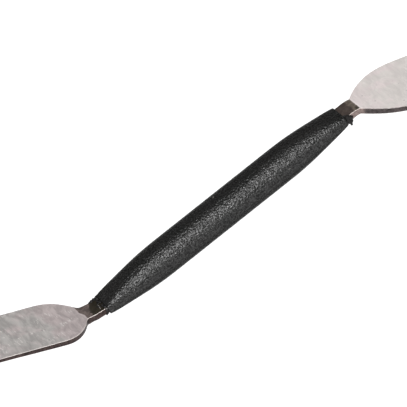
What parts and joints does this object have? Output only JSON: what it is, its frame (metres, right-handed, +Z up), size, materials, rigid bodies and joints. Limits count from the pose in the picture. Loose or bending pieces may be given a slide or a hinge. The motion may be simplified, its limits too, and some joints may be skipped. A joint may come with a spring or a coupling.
{
  "type": "double-ended palette knife",
  "caption": "Double-ended palette knife with a square blade cranked up, a leaf blade cranked down, and a black textured spindle grip between them.",
  "frame": {"origin": "bottom centre of the knife's box as it lies with the handle's belly and the leaf blade's point on a flat surface", "axes": "+X along the knife towards the leaf blade, +Y across the blades, +Z up out of the surface, on the side that the square blade is cranked towards"},
  "size_m": [0.2302, 0.0296, 0.0281],
  "materials": {
    "blade_steel": "ground and scratched steel, with dark brown scale left on the necks",
    "textured_grip": "black moulded plastic with a fine pebbled texture",
    "moulded_core": "plain moulded plastic, out of sight",
    "rivet_steel": "plain steel, out of sight"
  },
  "bodies": {
    "root": {"square_blade": "blade_steel", "leaf_blade": "blade_steel", "grip_sleeve": "textured_grip", "handle_core_upper": "moulded_core", "handle_core_lower": "moulded_core", "tang_rivet_1": "rivet_steel", "tang_rivet_2": "rivet_steel", "tang_rivet_3": "rivet_steel", "tang_rivet_4": "rivet_steel"}
  },
  "joints": []
}
